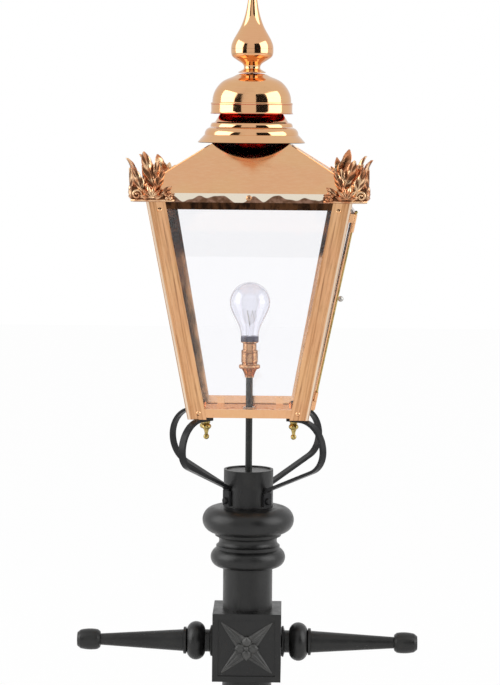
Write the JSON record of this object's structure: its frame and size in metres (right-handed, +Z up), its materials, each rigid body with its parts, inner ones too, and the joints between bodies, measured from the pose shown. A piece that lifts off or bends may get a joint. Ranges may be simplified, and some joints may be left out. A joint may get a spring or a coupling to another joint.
{
  "type": "post top lantern",
  "caption": "Square tapered copper lantern with a hinged glazed door, on a four-legged iron bracket and a post head casting with ladder arms.",
  "frame": {"origin": "centre of the mouth of the post socket, at the bottom of the head casting", "axes": "+Z up along the post, the lamp is seen from -Y, the door is on +X"},
  "size_m": [0.552, 0.3626, 1.1593],
  "materials": {
    "copper": "polished and lacquered sheet copper",
    "black_iron": "satin black paint on cast and bar iron",
    "black_pipe": "satin black paint",
    "brass": "polished brass",
    "steel": "plain steel",
    "pane_glass": "clear flat glass",
    "bulb_glass": "clear blown glass",
    "filament": "glass stem with wires",
    "insulator": "moulded insulator"
  },
  "bodies": {
    "root": {"base_tray": "copper", "corner_crest_front_left": "copper", "corner_crest_front_right": "copper", "corner_crest_rear_left": "copper", "corner_crest_rear_right": "copper", "corner_post_front_left": "copper", "corner_post_front_right": "copper", "corner_post_rear_left": "copper", "corner_post_rear_right": "copper", "dome_spacer": "steel", "dome_strap": "copper", "door_catch": "steel", "drop_finials": "brass", "eave_band": "copper", "eave_screws": "copper", "finial_lower": "copper", "finial_nuts": "steel", "finial_stud": "steel", "finial_upper": "copper", "frog_collar": "black_iron", "frog_leg_front_left": "black_iron", "frog_leg_front_right": "black_iron", "frog_leg_rear_left": "black_iron", "frog_leg_rear_right": "black_iron", "glass_clips": "copper", "glass_front": "pane_glass", "glass_left": "pane_glass", "glass_rear": "pane_glass", "hinge_pin": "steel", "holder_barrel": "brass", "holder_body": "brass", "holder_insulator": "insulator", "holder_ring": "brass", "ladder_arm_left": "black_iron", "ladder_arm_right": "black_iron", "ladder_block": "black_iron", "lamp_pipe": "black_pipe", "leg_bolts": "black_iron", "leg_stud_nuts": "brass", "leg_studs": "black_iron", "leg_washers": "black_iron", "pipe_nuts": "black_pipe", "post_capital": "black_iron", "post_grub_screws": "black_iron", "post_knuckles": "copper", "post_rivets": "copper", "roof_shell": "copper", "top_frame": "copper", "vent_cone": "copper", "vent_dome": "copper", "vent_skirt": "copper"},
    "door": {"door_frame": "copper", "door_glass": "pane_glass", "door_clips": "copper", "door_knob": "brass", "door_knuckles": "copper"},
    "bulb": {"bulb_cap": "brass", "bulb_glass": "bulb_glass", "bulb_filament": "filament"}
  },
  "joints": [
    {"name": "door_hinge", "type": "hinge", "parent": "root", "child": "door", "pos_m": [0.10222, -0.09409, 0.50435], "axis": [-0.1924, 0.1789, -0.9649], "range_deg": [0, 105]},
    {"name": "bulb_twist", "type": "hinge", "parent": "root", "child": "bulb", "pos_m": [0, 0, 0.58507], "axis": [0, 0, 1], "range_deg": [0, 18]}
  ]
}
